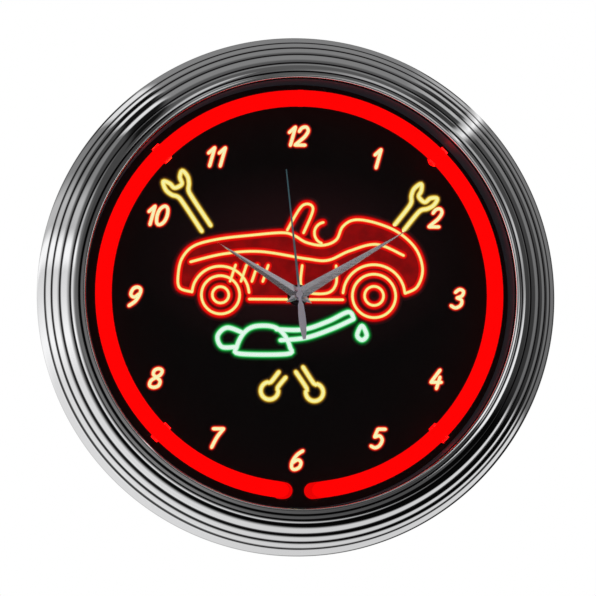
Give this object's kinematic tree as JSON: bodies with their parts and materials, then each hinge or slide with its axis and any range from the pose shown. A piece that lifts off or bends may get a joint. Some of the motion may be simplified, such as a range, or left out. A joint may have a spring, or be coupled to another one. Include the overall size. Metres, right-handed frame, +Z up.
{
  "type": "service station wall clock",
  "caption": "Round wall clock with a ribbed chrome rim, a red neon ring inside flat glass, a black printed dial and a quartz movement that drives hour, minute and second hands.",
  "frame": {"origin": "the dial's axis, on the wall plane at the cover's flat back", "axes": "+Z up to 12 o'clock, +X to 3 o'clock, +Y into the wall, so the face looks towards -Y"},
  "size_m": [0.3816, 0.074, 0.3816],
  "materials": {
    "chrome": "polished chrome plate",
    "clear_glass": "clear float glass",
    "neon_glass": "lit neon tube",
    "black_rubber": "matt",
    "red_rubber": "matt silicone",
    "liner_black": "gloss black paint",
    "dial_black": "black printed hardboard, satin",
    "cover_black": "fine moulded texture",
    "supply_black": "moulded",
    "zinc_steel": "zinc plated",
    "clear_plastic": "clear",
    "board_green": "solder mask",
    "ferrite": "matt",
    "capacitor_blue": "sleeved",
    "lead_red": "silicone insulation",
    "lead_black": "insulation",
    "inlet_black": "moulded",
    "switch_black": "moulded",
    "rocker_red": "moulded",
    "movement_black": "moulded",
    "nylon_white": "moulded",
    "brass": "turned",
    "hand_silver": "polished facets",
    "second_grey": "painted and lacquered",
    "magnet": "sintered",
    "copper": "enamelled winding",
    "cell": "plain sleeve"
  },
  "bodies": {
    "case": {"chrome_rim": "chrome", "lens_gasket": "black_rubber", "glass_lens": "clear_glass", "dial_liner": "liner_black", "dial_board": "dial_black", "dial_screws": "zinc_steel", "neon_tube": "neon_glass", "electrodes": "zinc_steel", "tube_clips": "clear_plastic", "electrode_boots": "red_rubber", "high_voltage_leads": "lead_red", "supply_case": "supply_black", "supply_lid": "supply_black", "supply_board": "board_green", "supply_transformer": "ferrite", "supply_capacitors": "capacitor_blue", "supply_screws": "zinc_steel", "lid_screws": "zinc_steel", "inlet_body": "inlet_black", "inlet_pin": "brass", "inlet_nut": "zinc_steel", "low_voltage_leads": "lead_black", "switch_body": "switch_black", "back_cover": "cover_black", "rim_screws": "zinc_steel", "hanger_plate": "zinc_steel", "hanger_rivets": "zinc_steel", "movement_front": "movement_black", "movement_back": "movement_black", "middle_plate": "nylon_white", "dial_nut": "brass", "brass_washer": "brass", "rubber_washer": "black_rubber", "stator": "zinc_steel", "coil_core": "zinc_steel", "coil_bobbin": "nylon_white", "coil_winding": "copper", "movement_board": "board_green", "quartz_crystal": "zinc_steel", "battery": "cell", "contact_positive": "zinc_steel", "contact_negative": "zinc_steel"},
    "second_shaft": {"second_wheel": "nylon_white", "second_hand": "second_grey"},
    "minute_pipe": {"minute_wheel": "nylon_white", "minute_hand": "hand_silver"},
    "hour_pipe": {"hour_wheel": "nylon_white", "hour_hand": "hand_silver"},
    "fifth_arbor": {"fifth_wheel": "nylon_white"},
    "rotor_arbor": {"rotor_pinion": "nylon_white", "rotor_magnet": "magnet"},
    "third_arbor": {"third_wheel": "nylon_white"},
    "intermediate_arbor": {"intermediate_wheel": "nylon_white"},
    "setting_arbor": {"setting_knob": "nylon_white"},
    "rocker": {"switch_rocker": "rocker_red"}
  },
  "joints": [
    {"name": "second_spin", "type": "hinge", "parent": "case", "child": "second_shaft", "pos_m": [0, -0.0235, 0], "axis": [0, 1, 0], "continuous": true},
    {"name": "minute_spin", "type": "hinge", "parent": "case", "child": "minute_pipe", "pos_m": [0, -0.0285, 0], "axis": [0, 1, 0], "continuous": true},
    {"name": "hour_spin", "type": "hinge", "parent": "case", "child": "hour_pipe", "pos_m": [0, -0.032, 0], "axis": [0, 1, 0], "continuous": true},
    {"name": "fifth_spin", "type": "hinge", "parent": "case", "child": "fifth_arbor", "pos_m": [-0.00779, -0.0222, 0.0045], "axis": [0, 1, 0], "continuous": true},
    {"name": "rotor_spin", "type": "hinge", "parent": "case", "child": "rotor_arbor", "pos_m": [-0.00925, -0.0222, 0.01277], "axis": [0, 1, 0], "continuous": true},
    {"name": "third_spin", "type": "hinge", "parent": "case", "child": "third_arbor", "pos_m": [0.00835, -0.0249, 0.00585], "axis": [0, 1, 0], "continuous": true},
    {"name": "intermediate_spin", "type": "hinge", "parent": "case", "child": "intermediate_arbor", "pos_m": [0.00624, -0.0302, -0.0036], "axis": [0, 1, 0], "continuous": true},
    {"name": "setting_spin", "type": "hinge", "parent": "case", "child": "setting_arbor", "pos_m": [0.01247, -0.0302, -0.0072], "axis": [0, 1, 0], "continuous": true},
    {"name": "rocker_tilt", "type": "hinge", "parent": "case", "child": "rocker", "pos_m": [-0.15452, -0.013, -0.07206], "axis": [0, -1, 0], "range_deg": [0, 20]}
  ],
  "couplings": [
    {"joint": "minute_spin", "follows": "second_spin", "ratio": 0.016667},
    {"joint": "hour_spin", "follows": "second_spin", "ratio": 0.0013889},
    {"joint": "fifth_spin", "follows": "second_spin", "ratio": -5},
    {"joint": "rotor_spin", "follows": "second_spin", "ratio": 30},
    {"joint": "third_spin", "follows": "second_spin", "ratio": -0.13333},
    {"joint": "intermediate_spin", "follows": "second_spin", "ratio": -0.0055556},
    {"joint": "setting_spin", "follows": "second_spin", "ratio": 0.016667}
  ]
}
